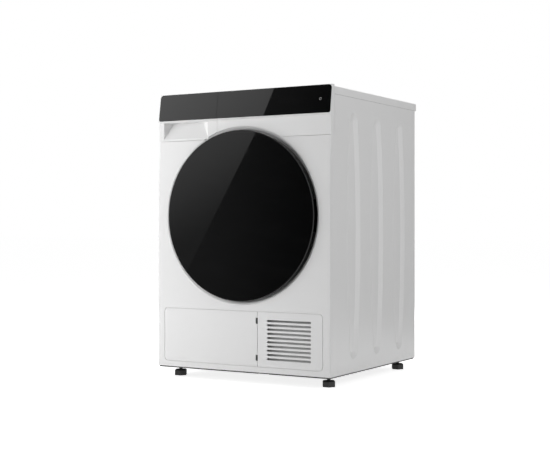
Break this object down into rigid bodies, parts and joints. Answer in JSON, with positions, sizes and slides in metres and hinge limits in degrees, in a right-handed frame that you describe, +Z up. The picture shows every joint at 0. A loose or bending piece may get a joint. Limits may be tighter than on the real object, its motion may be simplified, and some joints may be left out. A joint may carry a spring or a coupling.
{
  "type": "clothes dryer",
  "caption": "Free-standing front-loading heat-pump clothes dryer with a round glass door, water tank drawer, service flap, spinning drum and screw feet.",
  "frame": {"origin": "on the floor, under the middle of the machine's overall box", "axes": "+Z up, the front with the door faces -Y, +X to the right as seen from the front"},
  "size_m": [0.597, 0.6126, 0.8655],
  "materials": {
    "white_enamel": "smooth white stoved enamel on steel sheet",
    "white_plastic": "white moulded plastic with a fine satin skin",
    "black_glass": "black tinted glass, polished, opaque",
    "black_gloss": "glossy black moulded plastic",
    "smoke_plastic": "smoke grey polycarbonate",
    "grey_rubber": "soft dark grey door rubber",
    "felt": "pressed grey felt",
    "drum_steel": "bright rolled stainless steel",
    "bare_steel": "zinc plated steel",
    "grey_plastic": "mid grey moulded plastic",
    "dark_plastic": "dark textured moulded plastic",
    "tank_plastic": "milky blow-moulded tank plastic",
    "cast_metal": "die-cast alloy",
    "iron": "black painted iron shell",
    "fins": "thin bright fins",
    "board": "green circuit board",
    "belt_rubber": "ribbed black belt rubber"
  },
  "bodies": {
    "cabinet": {"front_panel": "white_enamel", "side_panel_left": "white_enamel", "side_panel_right": "white_enamel", "control_panel": "white_plastic", "worktop": "white_plastic", "service_grille": "white_plastic", "control_glass": "black_glass", "drum_felts": "felt", "rear_panel": "bare_steel", "rear_screws": "bare_steel", "cross_braces": "bare_steel", "lock_nuts": "bare_steel", "motor_mount": "bare_steel", "front_bulkhead": "grey_plastic", "tank_tray": "grey_plastic", "air_duct": "grey_plastic", "exchanger_housing": "grey_plastic", "exchanger_cover": "grey_plastic", "condensate_pump": "grey_plastic", "base_tray": "dark_plastic", "cord_gland": "dark_plastic", "flap_hinges": "dark_plastic", "fan_shroud": "dark_plastic", "door_latch": "dark_plastic", "hinge_bracket": "cast_metal", "rear_bearing": "cast_metal", "motor_body": "cast_metal", "compressor": "iron", "heat_exchangers": "fins", "control_board": "board", "drum_belt": "belt_rubber", "drain_hose": "belt_rubber"},
    "door": {"door_glass": "black_glass", "door_rim": "black_gloss", "door_bowl": "smoke_plastic", "door_seal": "grey_rubber", "hinge_leaf": "cast_metal", "hinge_pin": "bare_steel"},
    "drum": {"drum_shell": "drum_steel", "drum_back": "drum_steel", "drum_lifters": "grey_plastic", "drum_shaft": "bare_steel"},
    "motor_rotor": {"motor_shaft": "bare_steel", "blower_wheel": "grey_plastic"},
    "idler": {"idler_wheel": "bare_steel"},
    "left_roller": {"roller_left": "grey_plastic"},
    "right_roller": {"roller_right": "grey_plastic"},
    "fan": {"cooling_fan": "dark_plastic"},
    "tank": {"tank_front": "white_plastic", "tank_glass": "black_glass", "tank_body": "tank_plastic", "tank_lid": "grey_plastic"},
    "flap": {"service_flap": "white_plastic"},
    "filter": {"lint_filter": "grey_plastic"},
    "left_lever": {"lever_left": "grey_plastic"},
    "right_lever": {"lever_right": "grey_plastic"},
    "front_left_foot": {"foot_front_left": "dark_plastic"},
    "front_right_foot": {"foot_front_right": "dark_plastic"},
    "rear_left_foot": {"foot_rear_left": "dark_plastic"},
    "rear_right_foot": {"foot_rear_right": "dark_plastic"}
  },
  "joints": [
    {"name": "door_swing", "type": "hinge", "parent": "cabinet", "child": "door", "pos_m": [-0.243, -0.29675, 0.493], "axis": [0, 0, -1], "range_deg": [0, 110]},
    {"name": "drum_spin", "type": "hinge", "parent": "cabinet", "child": "drum", "pos_m": [0, 0, 0.493], "axis": [0, 1, 0], "continuous": true},
    {"name": "motor_spin", "type": "hinge", "parent": "cabinet", "child": "motor_rotor", "pos_m": [0.165, 0, 0.146], "axis": [0, 1, 0], "continuous": true},
    {"name": "idler_spin", "type": "hinge", "parent": "cabinet", "child": "idler", "pos_m": [0.21926, 0, 0.20064], "axis": [0, 1, 0], "continuous": true},
    {"name": "left_roller_spin", "type": "hinge", "parent": "cabinet", "child": "left_roller", "pos_m": [-0.174, 0, 0.22647], "axis": [0, 1, 0], "continuous": true},
    {"name": "right_roller_spin", "type": "hinge", "parent": "cabinet", "child": "right_roller", "pos_m": [0.174, 0, 0.22647], "axis": [0, 1, 0], "continuous": true},
    {"name": "fan_spin", "type": "hinge", "parent": "cabinet", "child": "fan", "pos_m": [0.165, 0, 0.131], "axis": [0, 1, 0], "continuous": true},
    {"name": "tank_slide", "type": "slide", "parent": "cabinet", "child": "tank", "axis": [0, -1, 0], "range_m": [0, 0.42]},
    {"name": "flap_swing", "type": "hinge", "parent": "cabinet", "child": "flap", "pos_m": [0.0565, -0.29275, 0.1325], "axis": [0, 0, 1], "range_deg": [0, 100]},
    {"name": "filter_lift", "type": "slide", "parent": "cabinet", "child": "filter", "axis": [0, 0, 1], "range_m": [0, 0.13]},
    {"name": "left_lever_turn", "type": "hinge", "parent": "cabinet", "child": "left_lever", "pos_m": [-0.2285, 0, 0.119], "axis": [0, -1, 0], "range_deg": [0, 90]},
    {"name": "right_lever_turn", "type": "hinge", "parent": "cabinet", "child": "right_lever", "pos_m": [0.012, 0, 0.119], "axis": [0, 1, 0], "range_deg": [0, 90]},
    {"name": "front_left_foot_screw", "type": "slide", "parent": "cabinet", "child": "front_left_foot", "axis": [0, 0, 1], "range_m": [-0.008, 0.003]},
    {"name": "front_right_foot_screw", "type": "slide", "parent": "cabinet", "child": "front_right_foot", "axis": [0, 0, 1], "range_m": [-0.008, 0.003]},
    {"name": "rear_left_foot_screw", "type": "slide", "parent": "cabinet", "child": "rear_left_foot", "axis": [0, 0, 1], "range_m": [-0.008, 0.003]},
    {"name": "rear_right_foot_screw", "type": "slide", "parent": "cabinet", "child": "rear_right_foot", "axis": [0, 0, 1], "range_m": [-0.008, 0.003]}
  ],
  "couplings": [
    {"joint": "motor_spin", "follows": "drum_spin", "ratio": 27.651},
    {"joint": "idler_spin", "follows": "drum_spin", "ratio": -14.103},
    {"joint": "left_roller_spin", "follows": "drum_spin", "ratio": -8.0857},
    {"joint": "right_roller_spin", "follows": "drum_spin", "ratio": -8.0857}
  ]
}
